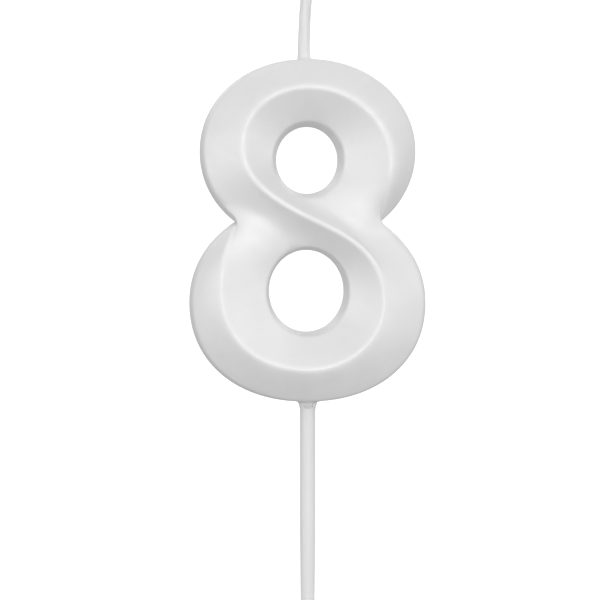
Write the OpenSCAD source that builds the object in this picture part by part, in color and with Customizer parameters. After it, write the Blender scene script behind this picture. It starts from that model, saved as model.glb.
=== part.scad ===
// Number birthday candle, figure 8: a pearl-white wax numeral on a push-in plastic pick.
// Millimetres, +Z up, +X to the reader's right, the front face towards -Y.
// The origin is on the pick's axis, at the top of its straight shank, where the icing comes to.

/* [Numeral] */
// Height of the figure, from foot to crown
numeral_h = 70; // [66:1:74]
// Width of the upper ring
upper_w = 44; // [42:1:46]
// Height of the upper ring
upper_h = 37.8; // [37:0.2:39]
// Width of the lower ring
lower_w = 48.4; // [46:1:50]
// Height of the lower ring
lower_h = 41; // [40:0.5:42]
// Roundness exponent of both rings: 2 is a true ellipse, more is squarer
squareness = 2.06; // [2:0.02:2.2]
// Depth of the figure at its ridge, front to back
ridge_depth = 15; // [13:0.5:16]
// Depth of the figure at its edges, front to back
edge_depth = 9; // [8:0.5:10]
// How far the side wall leans in between the mid-plane and the face
wall_draft = 0.45; // [0.3:0.05:0.6]

/* [Eyes] */
// Width of the upper eye at its narrowest, in the mid-plane
upper_eye_w = 12.6; // [11:0.2:13.4]
// Height of the upper eye
upper_eye_h = 13.6; // [12:0.2:14.4]
// Width of the lower eye
lower_eye_w = 15; // [13:0.2:16]
// Height of the lower eye
lower_eye_h = 16.4; // [14:0.2:17]
// How far each eye widens between the mid-plane and the face
eye_draft = 0.95; // [0.7:0.05:1.1]

/* [Wick] */
// Diameter of the cotton braid
braid_d = 1.8; // [1.6:0.1:1.9]
// Diameter of the exposed wick over its wax
wick_d = 2.3; // [2.2:0.1:2.6]
// Length of the wick that stands above the crown
wick_h = 15; // [12:1:18]
// How far the braid runs down into the crown
braid_depth = 10.5; // [8:0.5:11]
// How far the wick's cut end leans to the right
wick_lean = 6.5; // [3:0.5:10]

/* [Pick] */
// Length of the pick below the figure
pick_h = 50; // [44:1:60]
// Diameter of the straight shank
shank_d = 3.2; // [3:0.1:3.4]
// Length of the straight shank
shank_h = 24; // [18:1:26]
// Diameter where the taper meets the point
taper_d = 2.9; // [2.6:0.1:2.9]
// Length of the pick's point
point_h = 8; // [6:1:10]
// Height of the flared shoulder under the figure
shoulder_h = 1.7; // [1.4:0.1:2]
// Width of the shoulder where it meets the figure
shoulder_d = 4.1; // [3.9:0.1:4.4]
// How far the plug goes into the figure
plug_h = 11.5; // [9:0.5:12]

/* [Hidden] */

$fn = 64;
pearl_white = [0.90, 0.89, 0.88];
cotton_white = [0.93, 0.92, 0.89];
wax_white = [0.91, 0.91, 0.90];
pick_white = [0.88, 0.88, 0.87];

// A ring is [across, up, half width, half height], measured from the middle of the figure's foot.
upper_ring = [0, numeral_h - upper_h / 2, upper_w / 2, upper_h / 2];
lower_ring = [0, lower_h / 2, lower_w / 2, lower_h / 2];
upper_eye = [-0.2, upper_ring[1] - 1.7, upper_eye_w / 2, upper_eye_h / 2];
lower_eye = [-0.3, lower_ring[1] + 2.3, lower_eye_w / 2, lower_eye_h / 2];

ridge_y = ridge_depth / 2;
edge_y = edge_depth / 2;
pieces_per_stroke = 12; // straight pieces in each stroke of the ridge

fit = 0.02;             // gap round a piece that is cast or dipped in place
socket_gap = 0.05;      // gap round the plug, so that the figure can be pulled off
seat_gap = 0.05;        // gap between the shoulder and the figure's foot
foot_d = shoulder_d + 0.6;
foot_h = 4;
socket_extra = 0.5;     // room above the plug's end
plug_d = 2.5;
rib_d = 0.5;
rib_count = 4;
plug_lead_h = 1.2;
tip_d = 0.7;
window_top_w = 2.1;     // the scooped window in the shoulder, front and back
window_foot_w = 1.7;
window_floor = 0.8;
window_sink = 0.5;
wick_x = -0.8;
pivot_h = 0.9;          // height of the wick's bending point above the crown
wick_foot_h = 0.75;
wick_foot_d = 0.9;
wick_root_overlap = 0.2; // how far the foot runs on into the stem
braid_peep = 0.4;       // braid showing past the wax at the cut end

crown_z = shoulder_h + numeral_h;
taper_z = -shank_h;
point_z = shoulder_h - pick_h + point_h;
pick_end_z = shoulder_h - pick_h;
wick_bend_r = (wick_h - pivot_h) / sin(wick_lean);

// ---- plane curves of the figure -----------------------------------------------------------

// The point of a ring at an angle, drawn in from its edge by inset
function ring_point(ring, angle, inset = 0) =
    let (c = cos(angle), s = sin(angle), power = 2 / squareness)
    [ring[0] + (ring[2] - inset) * sign(c) * pow(abs(c), power),
     ring[1] + (ring[3] - inset) * sign(s) * pow(abs(s), power)];

// Half the width of a ring at the height z
function ring_reach(ring, z, inset) =
    (ring[2] - inset)
    * pow(max(0, 1 - pow(abs(z - ring[1]) / (ring[3] - inset), squareness)), 1 / squareness);

// The angle at which a ring passes the height z, on its right-hand side
function ring_angle(ring, z, inset) =
    let (power = squareness / 2, up = (z - ring[1]) / (ring[3] - inset))
    atan2(sign(up) * pow(abs(up), power),
          pow(ring_reach(ring, z, inset) / (ring[2] - inset), power));

// The height of the waist, where the two rings are equally wide, found by halving the gap
function waist_z(inset, low, high, rounds = 40) =
    let (middle = (low + high) / 2)
    rounds == 0 ? middle
    : ring_reach(upper_ring, middle, inset) > ring_reach(lower_ring, middle, inset)
      ? waist_z(inset, low, middle, rounds - 1)
      : waist_z(inset, middle, high, rounds - 1);

function waist(inset) =
    waist_z(inset, upper_ring[1] - upper_ring[3] + inset, lower_ring[1] + lower_ring[3] - inset);

// The notch at the waist: side is 1 on the right and -1 on the left
function notch(side, inset) =
    let (z = waist(inset)) [side * ring_reach(upper_ring, z, inset), z];

// The point of an eye at a bearing from its centre, its edge moved out by widen
function eye_point(eye, bearing, widen = 0) =
    let (reach = norm([cos(bearing) / (eye[2] + widen), sin(bearing) / (eye[3] + widen)]))
    [eye[0] + cos(bearing) / reach, eye[1] + sin(bearing) / reach];

// ---- the ridge ------------------------------------------------------------------------------

function heading(angle) = [cos(angle), sin(angle)];

function bezier(a, b, c, d, t) =
    pow(1 - t, 3) * a + 3 * t * pow(1 - t, 2) * b + 3 * t * t * (1 - t) * c + t * t * t * d;

// A place on a ring: across and up are parts of its half width and half height
function on_ring(ring, across, up) = [ring[0] + across * ring[2], ring[1] + up * ring[3]];

right_notch = notch(1, wall_draft);
left_notch = notch(-1, wall_draft);

// The ridge is one S from the right notch over the crown, down through the waist, round the
// foot and up to the left notch. Each stop is [place, heading, handle in, handle out].
ridge_stops = [
    [right_notch, 74, 0, 4.2],
    [on_ring(upper_ring, 0.74, -0.12), 90, 4, 8.2],
    [on_ring(upper_ring, 0, 0.67), 180, 8.6, 7.9],
    [on_ring(upper_ring, -0.617, 0.03), 270, 7.1, 7],
    [[1.4, right_notch[1]], 335, 8.4, 8.2],
    [on_ring(lower_ring, 0.617, -0.01), 270, 9.6, 7],
    [on_ring(lower_ring, -0.01, -0.655), 180, 8.3, 10.4],
    [on_ring(lower_ring, -0.737, 0.13), 90, 9.8, 6.8],
    [left_notch, 48, 3.2, 0],
];
strokes = len(ridge_stops) - 1;
last = strokes * pieces_per_stroke;

function ridge_point(i) =
    let (stroke = min(floor(i / pieces_per_stroke), strokes - 1),
         from = ridge_stops[stroke],
         to = ridge_stops[stroke + 1])
    bezier(from[0], from[0] + from[3] * heading(from[1]),
           to[0] - to[2] * heading(to[1]), to[0], i / pieces_per_stroke - stroke);

// The ridge stands at full height, and comes down to the edge along its first and last stroke
function ridge_rise(i) = sin(90 * min(1, min(i, last - i) / pieces_per_stroke));

// A point of the front half: y is its depth in front of the mid-plane
function front(point, y) = [point[0], -y, point[1]];

ridge_line = [for (i = [0 : last])
    front(ridge_point(i), edge_y + (ridge_y - edge_y) * ridge_rise(i))];

// ---- what the facets run down to ------------------------------------------------------------

// On each side of the ridge one long facet runs down from it. Above, it meets the upper ring's
// edge from the right notch to the left one, then a valley to the lower eye, then the eye's edge
// all the way round, and the valley back to the notch. Below, it is the same turned half round.
rim_end = 3.5 * pieces_per_stroke;    // where the facet leaves the ring's edge, at the far notch
valley_steps = 4;
eye_start = rim_end + valley_steps;
eye_end = last - valley_steps;
valley_bearing = 118;                 // where the valley reaches the eye

// The edge of a ring from one notch to the other, in step with the ridge
function rim(ring, turn, y, inset) =
    let (n = pieces_per_stroke, side = turn == 0 ? 1 : -1,
         start = side * ring_angle(ring, waist(inset), inset),
         angles = [[0, start], [n, 0], [2 * n, 90], [3 * n, 180], [rim_end, 180 - start]])
    [for (i = [0 : rim_end])
        i == 0 ? front(notch(side, inset), y)
        : i == rim_end ? front(notch(-side, inset), y)
        : front(ring_point(ring, lookup(i, angles) + turn, inset), y)];

// The edge of an eye all the way round from its valley, in step with the ridge
function eye_edge(eye, turn, y, widen) =
    let (n = pieces_per_stroke,
         bearings = [[eye_start, valley_bearing], [5 * n, 0], [6 * n, -90], [7 * n, -180],
                     [eye_end, valley_bearing - 360]])
    [for (i = [eye_start : eye_end])
        front(eye_point(eye, (i == eye_end ? valley_bearing : lookup(i, bearings)) + turn, widen), y)];

// The valley between a notch and an eye, without its two ends
function valley(a, b) = [for (i = [1 : valley_steps - 1]) a + (b - a) * i / valley_steps];

// ---- the figure's skin, as triangles seen anticlockwise from outside --------------------------

function reversed(list) = [for (i = [len(list) - 1 : -1 : 0]) list[i]];
function has_area(t) = t[0] != t[1] && t[1] != t[2] && t[2] != t[0];

// The skin between two lines that have the same number of points
function strip(a, b) =
    [for (i = [0 : len(a) - 2], t = [[a[i], b[i], b[i + 1]], [a[i], b[i + 1], a[i + 1]]])
        if (has_area(t)) t];

// The long facet on one side of the ridge, and the walls behind its two edges
function face(ridge, ring, eye, turn) =
    let (rim_front = rim(ring, turn, edge_y, wall_draft),
         rim_middle = rim(ring, turn, 0, 0),
         eye_front = eye_edge(eye, turn, edge_y, eye_draft),
         eye_middle = eye_edge(eye, turn, 0, 0),
         way_in = valley(rim_front[rim_end], eye_front[0]),
         foot = concat(rim_front, way_in, eye_front, reversed(way_in), [rim_front[rim_end]]))
    concat(strip(foot, ridge), strip(rim_middle, rim_front), strip(eye_middle, eye_front));

half_skin = concat(
    face(ridge_line, upper_ring, lower_eye, 0),
    face(reversed(ridge_line), lower_ring, upper_eye, 180));

function behind(p) = [p[0], p[1] == 0 ? 0 : -p[1], p[2]];
skin = concat(half_skin, [for (t = half_skin) [behind(t[0]), behind(t[2]), behind(t[1])]]);

module figure_solid() {
    polyhedron(
        points = [for (t = skin, p = t) p],
        faces = [for (i = [0 : len(skin) - 1]) [3 * i, 3 * i + 2, 3 * i + 1]]);
}

// ---- the pieces -------------------------------------------------------------------------------

module numeral() {
    color(pearl_white)
    difference() {
        union() {
            translate([0, 0, shoulder_h]) figure_solid();
            // flat foot that the pick's shoulder comes up against
            translate([0, 0, shoulder_h]) cylinder(h = foot_h, d = foot_d);
        }
        // socket for the pick's plug
        translate([0, 0, shoulder_h - 1])
            cylinder(h = plug_h + socket_extra + 1, d = plug_d + 2 * rib_d + 2 * socket_gap);
        // hole that the wick is set in
        translate([wick_x, 0, crown_z - braid_depth])
            cylinder(h = braid_depth + 1, d = braid_d + 2 * fit);
    }
}

module wick_root() {
    color(cotton_white)
    translate([wick_x, 0, crown_z - braid_depth + fit])
        cylinder(h = braid_depth, d = braid_d);
}

// A section carried up round the wick's long bend, and a little further for the cut end
module wick_bend(further = 0) {
    translate([wick_bend_r, 0, 0])
        rotate([90, 0, 0]) rotate([0, 0, 180 - wick_lean - further])
            rotate_extrude(angle = wick_lean + further)
                translate([wick_bend_r, 0]) children();
}

module wick_braid() {
    color(cotton_white)
    translate([wick_x, 0, crown_z + pivot_h]) {
        // the foot tapers down from the bending point, so that it clears the crown
        translate([0, 0, -wick_foot_h])
            cylinder(h = wick_foot_h + wick_root_overlap, d1 = wick_foot_d, d2 = braid_d - 0.1);
        wick_bend(braid_peep / wick_bend_r * 180 / PI) circle(d = braid_d);
    }
}

module wick_wax() {
    color(wax_white)
    translate([wick_x, 0, crown_z + pivot_h]) wick_bend() difference() {
        circle(d = wick_d);
        circle(d = braid_d + 2 * fit);
    }
}

// The scooped window that thins the shoulder, cut from the front and again from the back
module shoulder_window() {
    face_y = shank_d / 2;
    back_y = face_y - window_sink;
    intersection() {
        translate([0, -back_y, 0]) rotate([90, 0, 0]) linear_extrude(height = 2)
            polygon([
                [-window_foot_w / 2, -0.5],
                [window_foot_w / 2, -0.5],
                [window_top_w / 2, shoulder_h + 1],
                [-window_top_w / 2, shoulder_h + 1],
            ]);
        union() {
            translate([-2, -back_y - 2.5, window_floor]) cube([4, 2.5, shoulder_h]);
            translate([-2, -back_y - window_floor, window_floor])
                rotate([0, 90, 0]) cylinder(h = 4, r = window_floor);
        }
    }
}

module pick() {
    color(pick_white) {
        difference() {
            union() {
                translate([0, 0, taper_z]) cylinder(h = shank_h, d = shank_d);
                cylinder(h = shoulder_h - seat_gap, d1 = shank_d, d2 = shoulder_d);
            }
            for (side = [0, 180]) rotate([0, 0, side]) shoulder_window();
        }
        translate([0, 0, point_z]) cylinder(h = taper_z - point_z, d1 = taper_d, d2 = shank_d);
        translate([0, 0, pick_end_z]) cylinder(h = point_h, d1 = tip_d, d2 = taper_d);
        // plug with crush ribs and a lead-in
        translate([0, 0, shoulder_h - 0.5]) cylinder(h = plug_h + 0.5 - plug_lead_h, d = plug_d);
        translate([0, 0, shoulder_h + plug_h - plug_lead_h])
            cylinder(h = plug_lead_h, d1 = plug_d, d2 = plug_d / 2);
        for (i = [0 : rib_count - 1]) rotate([0, 0, (i + 0.5) * 360 / rib_count])
            translate([plug_d / 2 + rib_d / 2, 0, shoulder_h - 0.5])
                cylinder(h = plug_h + 0.5 - 2 * plug_lead_h, d = rib_d);
    }
}

numeral();
wick_root();
wick_braid();
wick_wax();
pick();
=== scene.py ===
"""A figure-8 birthday candle: a pearl-lacquered wax numeral with a waxed wick, on a push-in plastic pick.

The numeral is a skin between its ridge, its outer edge and the edges of its two eyes. Its curves are
those of the CAD source, fitted a little closer to the photo and drawn more finely, with a flat-topped
ridge and rounded edges.
Lengths are in millimetres up to the point where a mesh is made, and metres after that.
"""

import math
from collections import namedtuple

import bmesh
import bpy
import numpy as np
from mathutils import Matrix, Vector


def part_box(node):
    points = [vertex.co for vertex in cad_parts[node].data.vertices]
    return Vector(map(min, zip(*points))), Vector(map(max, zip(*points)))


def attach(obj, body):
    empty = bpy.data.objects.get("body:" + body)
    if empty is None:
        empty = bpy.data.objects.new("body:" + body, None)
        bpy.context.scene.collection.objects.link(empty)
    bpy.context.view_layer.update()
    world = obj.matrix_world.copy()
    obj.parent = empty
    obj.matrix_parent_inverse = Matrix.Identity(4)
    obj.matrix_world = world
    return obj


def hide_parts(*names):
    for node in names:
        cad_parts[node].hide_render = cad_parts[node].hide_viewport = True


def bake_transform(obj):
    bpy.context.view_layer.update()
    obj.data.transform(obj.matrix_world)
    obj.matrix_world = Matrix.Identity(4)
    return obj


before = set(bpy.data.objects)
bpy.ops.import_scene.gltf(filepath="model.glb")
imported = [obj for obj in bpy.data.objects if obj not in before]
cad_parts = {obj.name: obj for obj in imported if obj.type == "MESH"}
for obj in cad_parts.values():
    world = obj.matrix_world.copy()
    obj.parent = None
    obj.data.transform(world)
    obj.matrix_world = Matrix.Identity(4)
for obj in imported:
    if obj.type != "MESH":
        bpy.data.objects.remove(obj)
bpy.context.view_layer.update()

MM = 0.001


def in_mm(corners):
    return [np.array(c) / MM for c in corners]


# ---- driving dimensions, from the frame ---------------------------------------------------------

figure_low, figure_high = in_mm(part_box("numeral"))
pick_low, pick_high = in_mm(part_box("pick"))
root_low, root_high = in_mm(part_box("wick_root"))

FOOT_Z = figure_low[2]
CROWN_Z = figure_high[2]
FIGURE_H = CROWN_Z - FOOT_Z
FIGURE_W = figure_high[0] - figure_low[0]
RIDGE_Y = figure_high[1]
EDGE_Y = 0.6 * RIDGE_Y      # how far in front of the mid-plane the edges of the faces lie
WALL_DRAFT = 0.45           # how far the outer wall leans in from the mid-plane to the edge
SQUARENESS = 2.06           # 2 is an ellipse, and more is squarer
FOOT_SQUARENESS = 2.16
UPPER_H = 0.54 * FIGURE_H
LOWER_H = 41 / 70 * FIGURE_H
UPPER_W = FIGURE_W / 1.1

# All are measured from the middle of the foot
Ring = namedtuple("Ring", "across up half_w half_h foot_squareness")
Eye = namedtuple("Eye", "across up half_w half_h draft")
UPPER_RING = Ring(0, FIGURE_H - UPPER_H / 2, UPPER_W / 2, UPPER_H / 2, SQUARENESS)
LOWER_RING = Ring(0, LOWER_H / 2, FIGURE_W / 2, LOWER_H / 2, FOOT_SQUARENESS)
UPPER_EYE = Eye(-0.2, UPPER_RING.up - 1.65, 6.3, 6.82, 0.85)
LOWER_EYE = Eye(-0.3, LOWER_RING.up + 2.3, 7.68, 8.4, 0.63)

# The pick's plug and the bores that it and the wick stand in
PLUG_R = 1.25
PLUG_TOP = pick_high[2]
RIB_R = 0.25
RIB_OUT = PLUG_R + RIB_R    # from the axis to the middle of a crush rib
SOCKET_R = RIB_OUT + RIB_R + 0.05
SOCKET_TOP = PLUG_TOP + 0.5
SOCKET_LEAD = 0.25          # the chamfer at the socket's mouth
WICK_X = (root_low[0] + root_high[0]) / 2
WICK_BORE_R = 0.92
WICK_BORE_LOW = root_low[2] - 0.02

# ---- plane curves of the figure -----------------------------------------------------------------

STEPS = 48                  # steps in each stroke of the ridge
VALLEY_STEPS = 18           # steps along a valley, from the outer edge to an eye
TAIL_STEPS = 10             # steps along the outer edge from a valley to its notch
VALLEY_BEARING = 106        # where a valley comes down to its eye
VALLEY_FROM_NOTCH = 5.0     # about how far from the notch it leaves the outer edge
VALLEY_BOW = 2.2            # how far its middle lies to the side of the straight way
VALLEY_RISE = 1.5           # and how far in front of it


def ring_point(ring, angle, inset=0.0):
    """Points of a ring at angles in degrees, drawn in from its edge by inset."""
    c, s = np.cos(np.radians(angle)), np.sin(np.radians(angle))
    power = 2 / np.where(s < 0, ring.foot_squareness, SQUARENESS)
    return np.stack([ring.across + (ring.half_w - inset) * np.sign(c) * np.abs(c) ** power,
                     ring.up + (ring.half_h - inset) * np.sign(s) * np.abs(s) ** power], axis=-1)


def ring_reach(ring, up, inset):
    """Half the width of a ring at a height."""
    part = max(0.0, 1 - (abs(up - ring.up) / (ring.half_h - inset)) ** SQUARENESS)
    return (ring.half_w - inset) * part ** (1 / SQUARENESS)


def ring_angle(ring, up, inset):
    """The angle at which a ring passes a height, on its right-hand side."""
    power = SQUARENESS / 2
    part = (up - ring.up) / (ring.half_h - inset)
    return math.degrees(math.atan2(math.copysign(abs(part) ** power, part),
                                   (ring_reach(ring, up, inset) / (ring.half_w - inset)) ** power))


def waist(inset):
    """The height where the two rings are equally wide, found by halving the gap."""
    low = UPPER_RING.up - UPPER_RING.half_h + inset
    high = LOWER_RING.up + LOWER_RING.half_h - inset
    for _ in range(40):
        middle = (low + high) / 2
        if ring_reach(UPPER_RING, middle, inset) > ring_reach(LOWER_RING, middle, inset):
            high = middle
        else:
            low = middle
    return (low + high) / 2


def notch(side, inset):
    """Where the two rings cross, on the right (1) or the left (-1)."""
    up = waist(inset)
    return np.array([side * ring_reach(UPPER_RING, up, inset), up])


def eye_point(eye, bearing, widen=0.0):
    """Points of an eye at bearings in degrees from its centre, its edge moved out by widen."""
    c, s = np.cos(np.radians(bearing)), np.sin(np.radians(bearing))
    reach = 1 / np.hypot(c / (eye.half_w + widen), s / (eye.half_h + widen))
    return np.stack([eye.across + c * reach, eye.up + s * reach], axis=-1)


def on_ring(ring, across, up):
    """A place given in parts of a ring's half width and half height."""
    return (ring.across + across * ring.half_w, ring.up + up * ring.half_h)


# The ridge is one S from the right notch over the crown, down through the waist, round the foot
# and up to the left notch. Each stop is (place, heading, handle in, handle out).
RIDGE_STOPS = [
    (notch(1, WALL_DRAFT), 74, 0, 4.2),
    (on_ring(UPPER_RING, 0.74, -0.12), 90, 4, 8.2),
    (on_ring(UPPER_RING, 0, 0.67), 180, 8.6, 7.9),
    (on_ring(UPPER_RING, -0.617, 0.03), 270, 7.1, 7),
    ((1.4, waist(WALL_DRAFT)), 335, 8.4, 8.2),
    (on_ring(LOWER_RING, 0.617, -0.01), 270, 9.6, 7),
    (on_ring(LOWER_RING, -0.01, -0.655), 180, 8.3, 10.4),
    (on_ring(LOWER_RING, -0.737, 0.13), 90, 9.8, 6.8),
    (notch(-1, WALL_DRAFT), 48, 3.2, 0),
]
LAST = (len(RIDGE_STOPS) - 1) * STEPS
RIM_END = 7 * STEPS // 2
VALLEY_START = RIM_END - TAIL_STEPS
EYE_START = VALLEY_START + VALLEY_STEPS
EYE_END = LAST - TAIL_STEPS - VALLEY_STEPS


def heading(degrees):
    return np.array([math.cos(math.radians(degrees)), math.sin(math.radians(degrees))])


def ridge_points():
    """The ridge in plane points, STEPS to a stroke."""
    t = np.arange(STEPS)[:, None] / STEPS
    points = []
    for (a, heading_a, _, out), (d, heading_d, into, _) in zip(RIDGE_STOPS, RIDGE_STOPS[1:]):
        a, d = np.array(a), np.array(d)
        b = a + out * heading(heading_a)
        c = d - into * heading(heading_d)
        stroke = (1 - t) ** 3 * a + 3 * t * (1 - t) ** 2 * b + 3 * t * t * (1 - t) * c + t ** 3 * d
        points.append(stroke)
    return np.vstack(points + [np.array([RIDGE_STOPS[-1][0]])])


def rim(ring, turn, inset):
    """The edge of a ring from one notch to the other, in step with the ridge."""
    side = 1 if turn == 0 else -1
    start = side * ring_angle(ring, waist(inset), inset)
    tail = math.degrees(VALLEY_FROM_NOTCH / ring.half_h)
    stops = [0, STEPS, 2 * STEPS, 3 * STEPS, VALLEY_START, RIM_END]
    turns = [start, 0, 90, 180, 180 - start - tail, 180 - start]
    angles = np.interp(np.arange(RIM_END + 1), stops, turns)
    points = ring_point(ring, angles + turn, inset)
    points[0], points[-1] = notch(side, inset), notch(-side, inset)
    return points


def eye_edge(eye, turn, widen):
    """The edge of an eye all the way round from its valley, in step with the ridge."""
    stops = [EYE_START, 5 * STEPS, 6 * STEPS, 7 * STEPS, EYE_END]
    bearings = [VALLEY_BEARING, 0, -90, -180, VALLEY_BEARING - 360]
    points = eye_point(eye, np.interp(np.arange(EYE_START, EYE_END + 1), stops, bearings) + turn, widen)
    points[-1] = points[0]
    return points


# ---- the figure's skin ----------------------------------------------------------------------------

COLUMNS = 16                # across a facet while it is drawn tight
FINE = 22                   # across a facet in the finished skin
CREST_HALF = 0.5            # half the width of the ridge's flat top
CREST_DROP = 0.05           # how far the top's edges lie below its middle
RELAX_PASSES = 1500         # enough for the film to come to rest
RIM_CROWN = 0.45            # how far the facets down to the outer edge stand out in their middle
EYE_CROWN = -0.12           # the facets down to an eye are slightly hollow
EDGE_ROUND = 0.45           # how far the rounding reaches from an edge
CREST_ROUND = 0.22          # from the edges of the ridge's top
VALLEY_ROUND = 1.7          # and from a valley
CREST_CLEAR = 1.0           # the rounding of a valley stays about this far from the ridge
NOTCH_REACH = 1.5           # the edges run sharp into a notch over this length
VALLEY_PASSES = 30          # rounds of smoothing along the valleys
EDGE_PASSES = 5             # and along the edges


def at_depth(points, y):
    """Plane points at a depth in front of the mid-plane."""
    return np.stack([points[:, 0], np.broadcast_to(-np.asarray(y, float), len(points)), points[:, 1]], -1)


def gathered(count):
    """Parts from 0 to 1, closer together near both ends."""
    u = np.linspace(0, 1, count + 1)
    return (u + (1 - np.cos(math.pi * u)) / 2) / 2


def distance(a, b):
    return np.linalg.norm(a - b, axis=-1)


def falling(d, reach):
    """1 at an edge, falling to nothing over its reach."""
    return np.exp(-(d / reach) ** 2)


def facet(ridge, rise, ring, eye, turn):
    """One long facet and its half of the ridge's top, as rows of points from its foot to the ridge.

    The last two values of a point say how much it is rounded, as part of an edge and of a valley.
    """
    tangent = np.gradient(ridge, axis=0)
    across = np.stack([tangent[:, 1], -tangent[:, 0]], -1)
    across /= np.linalg.norm(across, axis=1)[:, None]
    rail = ridge + across * CREST_HALF * np.sqrt(rise)[:, None]
    crest_y = EDGE_Y + (RIDGE_Y - EDGE_Y) * rise
    rail = at_depth(rail, crest_y - CREST_DROP * rise)
    crest = at_depth(ridge, crest_y)

    # the foot runs along the outer edge, down a valley, round an eye, up the valley and on to the notch
    rim_front = at_depth(rim(ring, turn, WALL_DRAFT), EDGE_Y)
    eye_front = at_depth(eye_edge(eye, turn, eye.draft), EDGE_Y)
    t = np.arange(1, VALLEY_STEPS)[:, None] / VALLEY_STEPS
    way = eye_front[0] - rim_front[VALLEY_START]
    aside = np.array([-way[2], 0, way[0]]) / np.linalg.norm(way)
    valley = rim_front[VALLEY_START] + way * t
    valley += 4 * t * (1 - t) * (VALLEY_BOW * aside - np.array([0, VALLEY_RISE, 0]))
    before, after = rim_front[:VALLEY_START + 1], rim_front[VALLEY_START:]
    foot = np.vstack([before, valley, eye_front, valley[::-1], after])

    # drawn tight between foot and ridge, like a film
    part = np.linspace(0, 1, COLUMNS + 1)[None, :, None]
    rows = foot[:, None] + (rail - foot)[:, None] * part
    for _ in range(RELAX_PASSES):
        neighbours = rows[2:, 1:-1] + rows[:-2, 1:-1] + rows[1:-1, 2:] + rows[1:-1, :-2]
        rows[1:-1, 1:-1] = neighbours / 4

    fine = gathered(FINE)
    place = fine * COLUMNS
    index = np.minimum(place.astype(int), COLUMNS - 1)
    rows = rows[:, index] + (rows[:, index + 1] - rows[:, index]) * (place - index)[None, :, None]

    crown = np.zeros(LAST + 1)
    crown[:VALLEY_START + 1] = RIM_CROWN
    crown[EYE_START:EYE_END + 1] = EYE_CROWN
    blur = np.ones(STEPS // 2 + 1) / (STEPS // 2 + 1)
    crown = np.convolve(np.pad(crown, STEPS // 4, mode="edge"), blur, "valid") * rise
    rows[:, :, 1] -= crown[:, None] * 4 * fine * (1 - fine)

    top = rail[:, None] + (crest - rail)[:, None] * np.array([1 / 3, 2 / 3, 1])[None, :, None]
    rows = np.concatenate([rows, top], axis=1)

    is_edge = np.zeros(LAST + 1, bool)
    is_edge[:VALLEY_START + 1] = is_edge[EYE_START:EYE_END + 1] = is_edge[-TAIL_STEPS - 1:] = True
    from_foot = distance(rows, foot[:, None])
    from_rail = distance(rows, rail[:, None])
    from_valley = distance(rows[:, :, None], foot[None, None, ~is_edge]).min(-1)
    from_edge = distance(rows[:, :, None], foot[None, None, is_edge]).min(-1)
    at_foot = (is_edge * edge_roundness(foot, rim_front))[:, None] * falling(from_foot, EDGE_ROUND)
    edge_part = np.maximum(at_foot, falling(from_rail, CREST_ROUND))
    valley_part = falling(from_valley, VALLEY_ROUND)
    valley_part *= (1 - falling(from_edge, EDGE_ROUND)) * (1 - falling(from_rail, CREST_CLEAR))
    return np.dstack([rows, edge_part, valley_part]), rim_front, eye_front


def edge_roundness(line, rim_front):
    """1 along an edge, falling to nothing where the edge runs into a notch."""
    from_notch = np.minimum(distance(line, rim_front[0]), distance(line, rim_front[-1]))
    return np.clip(from_notch / NOTCH_REACH, 0, 1)


def sheet_faces(rows, columns, flip):
    """Quads of a grid of points, numbered row by row."""
    i, j = np.meshgrid(np.arange(rows - 1), np.arange(columns - 1), indexing="ij")
    a = (i * columns + j).ravel()
    quads = np.stack([a, a + columns, a + columns + 1, a + 1], -1)
    return quads[:, ::-1] if flip else quads


def weld(sheets):
    """One mesh from several grids of points: points that lie together become one."""
    points, faces, start = [], [], 0
    for grid, flip in sheets:
        faces.append(sheet_faces(grid.shape[0], grid.shape[1], flip) + start)
        points.append(grid.reshape(-1, 5))
        start += grid.shape[0] * grid.shape[1]
    points, faces = np.vstack(points), np.vstack(faces)
    _, first, same = np.unique(np.round(points[:, :3], 4), axis=0, return_index=True, return_inverse=True)
    points, faces = points[first], same.ravel()[faces]
    kept = []
    for face in faces.tolist():
        corners = [v for k, v in enumerate(face) if v != face[k - 1]]
        if len(set(corners)) == len(corners) and len(corners) > 2:
            kept.append(corners)
    return points, kept


def edges_of(faces):
    pairs = {(min(a, b), max(a, b)) for face in faces for a, b in zip(face, face[1:] + face[:1])}
    return np.array(sorted(pairs))


def soften(points, edges, weight, passes):
    """Draws each point towards the middle of its neighbours, as far as its weight says."""
    ends = np.concatenate([edges[:, 0], edges[:, 1]])
    others = np.concatenate([edges[:, 1], edges[:, 0]])
    count = np.bincount(ends, minlength=len(points))
    for _ in range(passes):
        middle = np.stack([np.bincount(ends, points[others, k], len(points)) / count for k in range(3)], -1)
        points = points + weight[:, None] * (middle - points)
    return points


def make_object(name, points, faces):
    """A smooth-shaded mesh from points in millimetres."""
    mesh = bpy.data.meshes.new(name)
    mesh.from_pydata((points * MM).tolist(), [], faces)
    mesh.validate()
    mesh.polygons.foreach_set("use_smooth", [True] * len(mesh.polygons))
    mesh.update()
    piece = bpy.data.objects.new(name, mesh)
    bpy.context.scene.collection.objects.link(piece)
    return piece


WALL_ROWS = 12              # from the mid-plane to the edge of a face
SEAM = 0.05                 # how far the mould's parting line stands proud
PAD_R = 2.35                # the flat that the pick's shoulder comes up against
PAD_FADE = 0.5              # the width over which the foot's curve takes over from the flat


def wall(front, middle, edge):
    """Rows from the mid-plane to a face's edge, with the same last two values as a facet's."""
    part = gathered(WALL_ROWS)[None, :, None]
    rows = middle[:, None] + (front - middle)[:, None] * part
    edge_part = edge[:, None] * falling(distance(rows, front[:, None]), EDGE_ROUND)
    return np.dstack([rows, edge_part, np.zeros_like(edge_part)])


def by_an_eye(x, z):
    """Whether a point of the mid-plane is on the edge of an eye, and not on the outer edge."""
    return any(abs(x - eye.across) < eye.half_w + 0.1 and abs(z - eye.up) < eye.half_h + 0.1
               for eye in (UPPER_EYE, LOWER_EYE))


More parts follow.
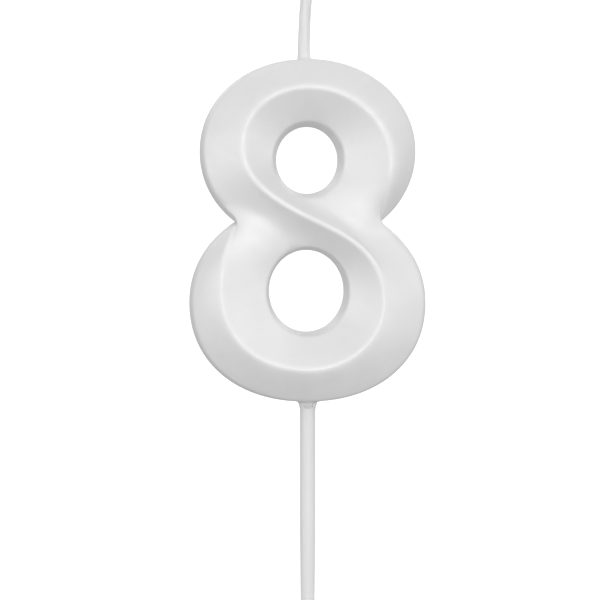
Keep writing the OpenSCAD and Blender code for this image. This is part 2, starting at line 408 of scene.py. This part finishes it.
def figure_mesh():
    """The figure's closed skin: two facets and their walls, and the same again behind."""
    ridge = ridge_points()
    step = np.minimum(np.arange(LAST + 1), LAST - np.arange(LAST + 1)) / STEPS
    rise = np.sin(np.radians(90 * np.minimum(1, step)))
    behind = np.array([1, -1, 1, 1, 1])
    sheets = []
    for line, ring, eye, turn in [(ridge, UPPER_RING, LOWER_EYE, 0),
                                  (ridge[::-1], LOWER_RING, UPPER_EYE, 180)]:
        rows, rim_front, eye_front = facet(line, rise, ring, eye, turn)
        rim_middle = at_depth(rim(ring, turn, 0), 0)
        eye_middle = at_depth(eye_edge(eye, turn, 0), 0)
        rim_wall = wall(rim_front, rim_middle, edge_roundness(rim_front, rim_front))
        eye_wall = wall(eye_front, eye_middle, edge_roundness(eye_front, rim_front))
        for grid in (rows, rim_wall, eye_wall):
            sheets += [(grid, False), (grid * behind, True)]
    points, faces = weld(sheets)
    points, edge_part, valley_part = points[:, :3], points[:, 3], points[:, 4]
    edges = edges_of(faces)
    points = soften(points, edges, valley_part, VALLEY_PASSES)
    points = soften(points, edges, edge_part, EDGE_PASSES)

    # the parting line all round, in the mid-plane
    on_seam = np.abs(points[:, 1]) < 0.01
    away = points[on_seam][:, [0, 2]]
    middles = [np.array([ring.across, ring.up]) for ring in (UPPER_RING, LOWER_RING)]
    centre = np.where((away[:, 1] > waist(0))[:, None], *middles)
    away = (away - centre) / distance(away, centre)[:, None]
    by_eye = np.array([by_an_eye(x, z) for x, _, z in points[on_seam]])
    out = SEAM * np.where(by_eye, -1, 1)[:, None] * away
    points[on_seam] += np.stack([out[:, 0], np.zeros(len(out)), out[:, 1]], -1)

    # the flat under the foot
    from_axis = np.hypot(points[:, 0], points[:, 1])
    flat = np.clip((PAD_R + PAD_FADE - from_axis) / PAD_FADE, 0, 1) * (points[:, 2] < 1)
    points[:, 2] *= 1 - flat
    points[:, 2] += FOOT_Z
    return points, faces


def lathe(name, rings, segments):
    """A closed surface of rings of points, each ring a function of the angles round the axis."""
    angle = np.linspace(0, 2 * math.pi, segments, endpoint=False)
    grids = [np.stack(np.broadcast_arrays(*ring(angle)), -1) for ring in rings]
    count = len(grids)
    points = np.vstack(grids + [grids[0].mean(0)[None], grids[-1].mean(0)[None]])
    faces = []
    for i in range(count - 1):
        for j in range(segments):
            k = (j + 1) % segments
            here, above = i * segments, (i + 1) * segments
            faces.append([here + j, here + k, above + k, above + j])
    for j in range(segments):
        k = (j + 1) % segments
        faces.append([count * segments, k, j])
        faces.append([count * segments + 1, (count - 1) * segments + j, (count - 1) * segments + k])
    return make_object(name, points, faces)


def round_rings(stops, x=0.0):
    """Plain round rings from (radius, height) stops."""
    return [lambda a, r=r, z=z: (x + r * np.cos(a), r * np.sin(a), np.full_like(a, z)) for r, z in stops]


CLEAN_BELOW = 1e-7          # edges shorter than this after a cut are closed up, in metres


def cut_bores(piece, cutters):
    """Cuts the cutters out of a piece, and removes them."""
    for cutter in cutters:
        cut = piece.modifiers.new("bore", "BOOLEAN")
        cut.operation = "DIFFERENCE"
        cut.solver = "EXACT"
        cut.object = cutter
    evaluated = piece.evaluated_get(bpy.context.evaluated_depsgraph_get())
    piece.data = bpy.data.meshes.new_from_object(evaluated)
    piece.modifiers.clear()
    cleaned = bmesh.new()
    cleaned.from_mesh(piece.data)
    bmesh.ops.dissolve_degenerate(cleaned, dist=CLEAN_BELOW, edges=cleaned.edges)
    cleaned.to_mesh(piece.data)
    cleaned.free()
    for cutter in cutters:
        bpy.data.objects.remove(cutter)


def sharpen(piece, degrees):
    """Smooth shading, except over edges sharper than this."""
    piece.data.polygons.foreach_set("use_smooth", [True] * len(piece.data.polygons))
    piece.data.set_sharp_from_angle(angle=math.radians(degrees))


def make_figure():
    figure = make_object("wax_numeral", *figure_mesh())
    mouth_r = SOCKET_R + SOCKET_LEAD
    socket_stops = [(mouth_r, FOOT_Z - 1), (mouth_r, FOOT_Z), (SOCKET_R, FOOT_Z + SOCKET_LEAD),
                    (SOCKET_R, SOCKET_TOP)]
    socket = lathe("socket_cutter", round_rings(socket_stops), 64)
    bore_stops = [(WICK_BORE_R, WICK_BORE_LOW), (WICK_BORE_R, CROWN_Z + 1)]
    wick_hole = lathe("wick_cutter", round_rings(bore_stops, WICK_X), 48)
    cut_bores(figure, [socket, wick_hole])
    sharpen(figure, 40)
    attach(figure, "numeral")
    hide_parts("numeral")
    return figure


figure = make_figure()

# ---- the wick ---------------------------------------------------------------------------------------

WICK_R = 1.15
BRAID_R = 0.9
STRAIGHT = 0.9              # the wick rises straight for this length before it leans
PIVOT_Z = CROWN_Z + STRAIGHT
WICK_TOP = 15.6             # its end above the crown
LEAN = math.radians(6.5)    # how far it has turned at its end
BEND_R = (WICK_TOP - STRAIGHT) / math.sin(LEAN)
WICK_RING_GAP = 0.12
SUNK = 0.55                 # how far the wax of its foot reaches into the crown
STRAND_SLANT = 2.6          # how fast the strands wind, in radians of their wave to a millimetre
STRAND_WAX = 0.016          # how far they stand out through the wax, and how uneven the wax is
FLARE = 0.42                # how far the wax spreads at the foot, and over how much height
FLARE_ASIDE = 0.25          # how much further it spreads on the side that the wick leans to
SWELL = 0.12                # the wick is thicker low down by this much, fading over SWELL_FADE
SWELL_FADE = 5


def wick_place(along):
    """Centre and heading of the wick at a length from its bending point: straight, then one long arc."""
    turn = max(0.0, along) / BEND_R
    x = WICK_X + BEND_R * (1 - math.cos(turn))
    z = PIVOT_Z + min(along, 0) + BEND_R * math.sin(turn)
    return np.array([x, 0, z]), turn


def wick_ring(along, radius, lift=None):
    """A ring square to the wick. Its radius and its points' lift can follow the angle round it."""
    centre, turn = wick_place(along)

    def ring(a):
        r = radius(a, along) if callable(radius) else np.full_like(a, radius)
        across, deep = r * np.cos(a), r * np.sin(a)
        up = lift(a) if lift else 0
        return (centre[0] + across * math.cos(turn) + up * math.sin(turn), deep,
                centre[2] - across * math.sin(turn) + up * math.cos(turn))
    return ring


def strands(a, along):
    """The crossing strands of an eight-strand braid, from -1 to 1."""
    return np.sin(4 * a + STRAND_SLANT * along) * np.sin(4 * a - STRAND_SLANT * along)


def waxed_radius(a, along):
    """Wax over the braid: faint strands, a few fuller places and a flared foot."""
    lumps = np.sin(1.3 * along + 1.1 * np.sin(a)) * np.sin(0.47 * along + 2 + np.cos(a + 1))
    above = along + PIVOT_Z - CROWN_Z
    flare = (FLARE + FLARE_ASIDE * np.cos(a)) * math.exp(-max(0.0, above + 0.1) / FLARE)
    swell = SWELL * math.exp(-max(0.0, above) / SWELL_FADE)
    return WICK_R + STRAND_WAX * (strands(a, along) + lumps) + flare + swell


def braid_radius(a, along):
    return BRAID_R * (1 + 0.05 * strands(a, along))


def frayed_ring(along, part, rough):
    """A ring of the cut end: a part of the braid's radius, with threads that stand up unevenly."""
    def radius(a, along):
        return BRAID_R * part * (1 + 0.04 * np.sin(4 * a))

    def lift(a):
        return rough * np.sin(8 * a + 1) * np.sin(3 * a)
    return wick_ring(along, radius, lift)


def make_wick():
    end = BEND_R * LEAN
    foot = CROWN_Z - SUNK - PIVOT_Z
    rings = [wick_ring(foot, 0.4), wick_ring(foot, 1.1)]
    for along in np.arange(foot + 0.1, end - 0.15, WICK_RING_GAP):
        rings.append(wick_ring(along, waxed_radius))

    # the wax is cut off just short of the braid
    rings.append(wick_ring(end - 0.12, lambda a, along: waxed_radius(a, along) - 0.02))
    rings.append(wick_ring(end - 0.02, lambda a, along: waxed_radius(a, along) - 0.10))
    rings.append(wick_ring(end + 0.02, lambda a, along: braid_radius(a, along) + 0.03))
    rings.append(wick_ring(end + 0.05, braid_radius))
    rings.append(wick_ring(end + 0.28, braid_radius))

    # the cut end closes over the braid: (part of its radius, height, unevenness)
    closing = [(0.98, 0.34, 0.03), (0.8, 0.38, 0.05), (0.55, 0.40, 0.06), (0.3, 0.39, 0.05),
               (0.12, 0.37, 0.03)]
    rings += [frayed_ring(end + up, part, rough) for part, up, rough in closing]
    wick = lathe("waxed_wick", rings, 64)
    sharpen(wick, 60)
    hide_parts("wick_braid", "wick_wax")
    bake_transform(wick)
    return wick


wick = make_wick()

# ---- the pick ---------------------------------------------------------------------------------------

SHANK_R = 1.6
TAPER_R = 1.45
TIP_R = 0.35
SHOULDER_R = 2.05
SHOULDER_TOP = FOOT_Z - 0.05
SHOULDER_CURVE = 1.3        # more than 1 makes the shoulder flare late
TAPER_Z = -24.0             # the shank narrows below this
POINT_Z = pick_low[2] + 8   # and runs to a point below this
BLUNT_Z = pick_low[2] + 0.14
RIB_TOP = PLUG_TOP - 2.4
RIB_FADE = 0.3
PLUG_LEAD = PLUG_TOP - 1.2  # the plug's end tapers above this
SCOOP_LOW = 0.35            # the scoop under a window starts here and is deepest at SCOOP_HIGH
SCOOP_HIGH = 1.1
SCOOP_DEPTH = 0.85
WINDOW_DEPTH = 0.3          # how deep a window's back lies at its top, where it meets the figure
WINDOW_HALF = 0.85          # half its width at the bottom
WINDOW_SPREAD = 0.2         # and how much more at the top
WINDOW_SIDE = 0.12          # the width over which its sides rise


def pick_ring(radius, z):
    """A ring of the pick, with the crush ribs on its plug and the scooped windows in its shoulder."""
    def ring(a):
        r = np.full_like(a, radius)
        if z > SHOULDER_TOP + 0.01:
            fade = min(1.0, max(0.0, (RIB_TOP - z) / RIB_FADE))
            for corner in (45, 135, 225, 315):
                off = (a - math.radians(corner) + math.pi) % (2 * math.pi) - math.pi
                inner = RIB_R ** 2 - (RIB_OUT * np.sin(off)) ** 2
                rib = RIB_OUT * np.cos(off) + np.sqrt(np.maximum(inner, 0))
                on_rib = (inner > 0) & (np.cos(off) > 0)
                r = np.where(on_rib, np.maximum(r, r + (rib - r) * fade), r)
        x, y = r * np.cos(a), r * np.sin(a)
        # each window is cut back to a depth across its width, and to nothing beyond its sides
        if 0 <= z <= SHOULDER_TOP + 0.01:
            half = WINDOW_HALF + WINDOW_SPREAD * z / SHOULDER_TOP
            heights = [SCOOP_LOW, SCOOP_HIGH, SHOULDER_TOP]
            depth = np.interp(z, heights, [-0.05, SCOOP_DEPTH, WINDOW_DEPTH])
            side = np.clip((np.abs(x) - half) / WINDOW_SIDE + 0.5, 0, 1)
            limit = SHANK_R - depth + 2 * side * side * (3 - 2 * side)
            y = np.sign(y) * np.minimum(np.abs(y), limit)
        return x, y, np.full_like(a, z)
    return ring


def cone(low, high, start, end, count):
    """Stops (radius, height) between two others, at the parts from start to end of the way."""
    return [(low[0] + (high[0] - low[0]) * t, low[1] + (high[1] - low[1]) * t)
            for t in np.linspace(start, end, count)]


def make_pick():
    low = pick_low[2]
    stops = [(0.12, low), (0.24, low + 0.04), (TIP_R * 0.97, BLUNT_Z)]
    stops += cone((TIP_R, BLUNT_Z), (TAPER_R, POINT_Z), 0.02, 0.98, 13)
    stops += cone((TAPER_R, POINT_Z), (SHANK_R, TAPER_Z), 0.02, 1, 16)
    stops += [(SHANK_R, z) for z in np.linspace(TAPER_Z, -0.1, 25)[1:]]
    for z in np.linspace(0, SHOULDER_TOP - 0.06, 34):
        stops.append((SHANK_R + (SHOULDER_R - SHANK_R) * (z / SHOULDER_TOP) ** SHOULDER_CURVE, z))
    stops += [(SHOULDER_R - 0.01, SHOULDER_TOP - 0.03), (SHOULDER_R - 0.05, SHOULDER_TOP)]
    stops += [(PLUG_R + 0.1, SHOULDER_TOP + 0.002)]
    stops += [(PLUG_R, z) for z in np.linspace(SHOULDER_TOP + 0.06, RIB_TOP - 0.35, 12)]
    stops += [(PLUG_R, z) for z in np.linspace(RIB_TOP - 0.3, RIB_TOP + 0.05, 5)]
    stops += [(PLUG_R, PLUG_LEAD - 0.06), (PLUG_R - 0.02, PLUG_LEAD)]
    stops += [(PLUG_R * 0.75, (PLUG_LEAD + PLUG_TOP) / 2), (PLUG_R / 2 + 0.05, PLUG_TOP - 0.06)]
    stops += [(PLUG_R / 2 - 0.05, PLUG_TOP), (0.2, PLUG_TOP)]
    pick = lathe("plastic_pick", [pick_ring(r, z) for r, z in stops], 160)
    sharpen(pick, 50)
    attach(pick, "pick")
    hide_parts("pick")
    return pick


pick = make_pick()

# ---- materials --------------------------------------------------------------------------------------

WAX_DARK = (0.845, 0.834, 0.836)
WAX_LIGHT = (0.893, 0.882, 0.884)
WAX_ROUGHNESS = 0.48
WAX_METALLIC = 0.3
FLAKE_MM = 0.16             # the size of the lacquer's pearl flakes
MIX_A, MIX_B, MIX_OUT = 6, 7, 2     # the colour sockets of a Mix node, which share their names


def node_tools(name):
    """A new material with its shader, its place on the piece, and a short way to add nodes."""
    material = bpy.data.materials.new(name)
    material.use_nodes = True
    tree = material.node_tree
    shader = tree.nodes["Principled BSDF"]
    place = tree.nodes.new("ShaderNodeTexCoord").outputs["Object"]

    def add(kind, links=(), **values):
        node = tree.nodes.new("ShaderNode" + kind)
        for key, value in values.items():
            if hasattr(node, key):
                setattr(node, key, value)
            else:
                node.inputs[key.replace("_", " ").title()].default_value = value
        for socket, source in dict(links).items():
            tree.links.new(source, node.inputs[socket])
        return node

    return material, tree, shader, place, add


def noise(add, place, size_mm, detail=3.0, stretch=(1, 1, 1)):
    """Noise with features of about this size."""
    scaled = add("VectorMath", {0: place}, operation="MULTIPLY")
    scaled.inputs[1].default_value = [k / (size_mm * MM) for k in stretch]
    return add("TexNoise", {"Vector": scaled.outputs[0]}, Scale=1.0, Detail=detail).outputs["Fac"]


def spread(add, value, low, high, start=0.3, end=0.7):
    """A value from start to end, carried over to low and high."""
    node = add("MapRange", {"Value": value})
    for socket, number in (("From Min", start), ("From Max", end), ("To Min", low), ("To Max", high)):
        node.inputs[socket].default_value = number
    return node.outputs["Result"]


def tint(add, value, low, high):
    """A colour between low and high."""
    node = add("Mix", {"Factor": value}, data_type="RGBA")
    node.inputs[MIX_A].default_value = (*low, 1)
    node.inputs[MIX_B].default_value = (*high, 1)
    return node.outputs[MIX_OUT]


def bumps(add, heights):
    """Bump from (height, depth in mm) pairs, one upon the other."""
    normal = None
    for height, depth in heights:
        node = add("Bump", {"Height": height}, Strength=1.0, Distance=depth * MM)
        if normal is not None:
            node.id_data.links.new(normal, node.inputs["Normal"])
        normal = node.outputs["Normal"]
    return normal


def set_shader(shader, **values):
    """Sets what is the same all over the surface."""
    shader.inputs["Subsurface Radius"].default_value = (1, 1, 1)
    for key, value in values.items():
        shader.inputs[key.replace("_", " ")].default_value = value


def pearl_wax():
    """Satin pearl lacquer over white wax: cloudy, with a fine shimmer and a faint orange peel."""
    material, tree, shader, place, add = node_tools("pearl_wax")
    clouds = noise(add, place, 9, 4)
    flakes = add("TexVoronoi", {"Vector": place}, Scale=1 / (FLAKE_MM * MM)).outputs["Color"]
    flake = add("SeparateColor", {"Color": flakes}).outputs["Red"]
    colour = tint(add, spread(add, clouds, 0, 1), WAX_DARK, WAX_LIGHT)
    shimmer = add("Mix", {MIX_A: colour}, data_type="RGBA", blend_type="MULTIPLY")
    tree.links.new(spread(add, flake, 0.0, 0.035, 0, 1), shimmer.inputs["Factor"])
    shimmer.inputs[MIX_B].default_value = (0.6, 0.6, 0.62, 1)
    tree.links.new(shimmer.outputs[MIX_OUT], shader.inputs["Base Color"])
    mottle = noise(add, place, 2.2, 5)
    roughness = spread(add, mottle, WAX_ROUGHNESS - 0.04, WAX_ROUGHNESS + 0.05)
    tree.links.new(roughness, shader.inputs["Roughness"])
    peel = noise(add, place, 0.7, 2)
    tree.links.new(bumps(add, [(clouds, 0.05), (peel, 0.006)]), shader.inputs["Normal"])
    set_shader(shader, Metallic=WAX_METALLIC, Subsurface_Weight=0.12, Subsurface_Scale=0.001,
               Coat_Weight=0.15, Coat_Roughness=0.3)
    return material


def waxed_cotton():
    """White cotton seen through a thin, uneven coat of wax."""
    material, tree, shader, place, add = node_tools("waxed_cotton")
    soaked = noise(add, place, 1.6, 4)
    threads = noise(add, place, 0.3, 2, (1, 1, 0.04))
    colour = tint(add, spread(add, threads, 0, 1), (0.8, 0.795, 0.795), (0.9, 0.895, 0.895))
    tree.links.new(colour, shader.inputs["Base Color"])
    tree.links.new(spread(add, soaked, 0.5, 0.35), shader.inputs["Roughness"])
    tree.links.new(bumps(add, [(threads, 0.035), (soaked, 0.03)]), shader.inputs["Normal"])
    set_shader(shader, Subsurface_Weight=0.1, Subsurface_Scale=0.0005)
    return material


def moulded_plastic():
    """Milky plastic, faintly streaked along the way it flowed."""
    material, tree, shader, place, add = node_tools("moulded_plastic")
    flow = noise(add, place, 1.2, 3, (1, 1, 0.08))
    grain = noise(add, place, 0.15, 2)
    colour = tint(add, spread(add, flow, 0, 1), (0.85, 0.84, 0.845), (0.9, 0.89, 0.895))
    tree.links.new(colour, shader.inputs["Base Color"])
    tree.links.new(spread(add, grain, 0.36, 0.46), shader.inputs["Roughness"])
    tree.links.new(bumps(add, [(flow, 0.02), (grain, 0.003)]), shader.inputs["Normal"])
    set_shader(shader, Subsurface_Weight=0.12, Subsurface_Scale=0.0006)
    return material


def cotton():
    """The bare braid inside the wax."""
    material, tree, shader, place, add = node_tools("cotton")
    threads = noise(add, place, 0.3, 3, (1, 1, 0.4))
    colour = tint(add, spread(add, threads, 0, 1), (0.7, 0.69, 0.66), (0.85, 0.84, 0.81))
    tree.links.new(colour, shader.inputs["Base Color"])
    tree.links.new(bumps(add, [(threads, 0.05)]), shader.inputs["Normal"])
    set_shader(shader, Roughness=0.85)
    return material


figure.data.materials.clear()
figure.data.materials.append(pearl_wax())
wick.data.materials.append(waxed_cotton())
pick.data.materials.append(moulded_plastic())
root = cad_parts["wick_root"]
root.data.materials.clear()
root.data.materials.append(cotton())

# ---- stage, camera and light ------------------------------------------------------------------------

# lengths from here on are in metres
FLOOR_Z = pick_low[2] * MM - 0.0002
STAGE_HALF = 2.5            # half the width of the stage
STAGE_FRONT = -2.0
SWEEP_START = 0.55          # where the floor starts to curve up
SWEEP_R = 0.35
WALL_TOP = 1.6              # its height above the floor
STAGE_GLOW = 0.6            # the strength of the light within the sheet


def pale_paint():
    """Matt studio paint, faintly mottled."""
    material, tree, shader, place, add = node_tools("pale_paint")
    mottle = noise(add, place, 60, 4)
    colour = tint(add, spread(add, mottle, 0, 1), (0.86, 0.86, 0.86), (0.89, 0.89, 0.89))
    tree.links.new(colour, shader.inputs["Base Color"])
    set_shader(shader, Roughness=0.9, Specular_IOR_Level=0.1,
               Emission_Color=(1, 1, 1, 1), Emission_Strength=STAGE_GLOW)
    return material


def make_stage():
    """A seamless sheet, faintly lit from within like a light table: floor, sweep and wall."""
    turn = np.radians(np.linspace(0, 90, 25))
    profile = [(STAGE_FRONT, 0.0)]
    profile += [(SWEEP_START + SWEEP_R * math.sin(t), SWEEP_R * (1 - math.cos(t))) for t in turn]
    profile += [(SWEEP_START + SWEEP_R, WALL_TOP)]
    points = np.array([(x, y, FLOOR_Z + z) for y, z in profile for x in (-STAGE_HALF, STAGE_HALF)]) / MM
    stage = make_object("floor", points, sheet_faces(len(profile), 2, True).tolist())
    stage.data.materials.append(pale_paint())
    # its light isn't thrown back on the candle
    stage.visible_diffuse = False
    stage.visible_glossy = False
    stage.visible_transmission = False
    stage.visible_shadow = False


make_stage()

AIM = Vector((-0.00158, 0, 0.0226))
CAMERA_PLACE = Vector((-0.02488, -0.3, 0.0352))
FIELD_OF_VIEW = 23.1        # in degrees


def make_camera():
    data = bpy.data.cameras.new("camera")
    data.angle = math.radians(FIELD_OF_VIEW)
    data.clip_start = 0.01
    camera = bpy.data.objects.new("camera", data)
    camera.location = CAMERA_PLACE
    camera.rotation_euler = (AIM - CAMERA_PLACE).to_track_quat("-Z", "Y").to_euler()
    bpy.context.scene.collection.objects.link(camera)
    bpy.context.scene.camera = camera


LIT = Vector((0, 0, 0.03))  # what the lights point at
LIGHT_DISTANCE = 0.7
LIGHT_SIZE = 0.35

# (name, bearing from the front, elevation, watts)
LIGHTS = [
    ("front", 0, 0, 0.865),
    ("right", 45, 0, 0.408),
    ("left", -45, 0, 0.501),
    ("high", 20, 25, 0.354),
    ("back_left", -145, 35, 0.35),
    ("back_right", 140, 35, 0.5),
]


def make_lights():
    for name, bearing, elevation, watts in LIGHTS:
        a, e = math.radians(bearing), math.radians(elevation)
        away = Vector((math.sin(a) * math.cos(e), -math.cos(a) * math.cos(e), math.sin(e)))
        data = bpy.data.lights.new(name, "AREA")
        data.shape = "SQUARE"
        data.size = LIGHT_SIZE
        data.energy = watts
        light = bpy.data.objects.new("light_" + name, data)
        light.location = LIT + away * LIGHT_DISTANCE
        light.rotation_euler = (-away).to_track_quat("-Z", "Y").to_euler()
        bpy.context.scene.collection.objects.link(light)


LIGHT_ABOVE = 0.76          # the world's strength from straight above
LIGHT_BELOW = 0.315         # and from straight below


def make_world():
    """Soft studio light, stronger from above than from below; the air beyond the stage looks white."""
    world = bpy.data.worlds.new("studio")
    bpy.context.scene.world = world
    world.use_nodes = True
    tree = world.node_tree
    soft = tree.nodes["Background"]
    soft.inputs["Color"].default_value = (1, 1, 1, 1)
    direction = tree.nodes.new("ShaderNodeTexCoord").outputs["Generated"]
    parts = tree.nodes.new("ShaderNodeSeparateXYZ")
    tree.links.new(direction, parts.inputs[0])
    strength = tree.nodes.new("ShaderNodeMapRange")
    tree.links.new(parts.outputs["Z"], strength.inputs["Value"])
    strength.inputs["From Min"].default_value = -1
    strength.inputs["To Min"].default_value = LIGHT_BELOW
    strength.inputs["To Max"].default_value = LIGHT_ABOVE
    tree.links.new(strength.outputs["Result"], soft.inputs["Strength"])
    white = tree.nodes.new("ShaderNodeBackground")
    white.inputs["Color"].default_value = (1, 1, 1, 1)
    white.inputs["Strength"].default_value = 1.0
    path = tree.nodes.new("ShaderNodeLightPath")
    mix = tree.nodes.new("ShaderNodeMixShader")
    tree.links.new(path.outputs["Is Camera Ray"], mix.inputs[0])
    tree.links.new(soft.outputs[0], mix.inputs[1])
    tree.links.new(white.outputs[0], mix.inputs[2])
    tree.links.new(mix.outputs[0], tree.nodes["World Output"].inputs["Surface"])


make_camera()
make_lights()
make_world()
bpy.context.scene.view_settings.view_transform = "Standard"
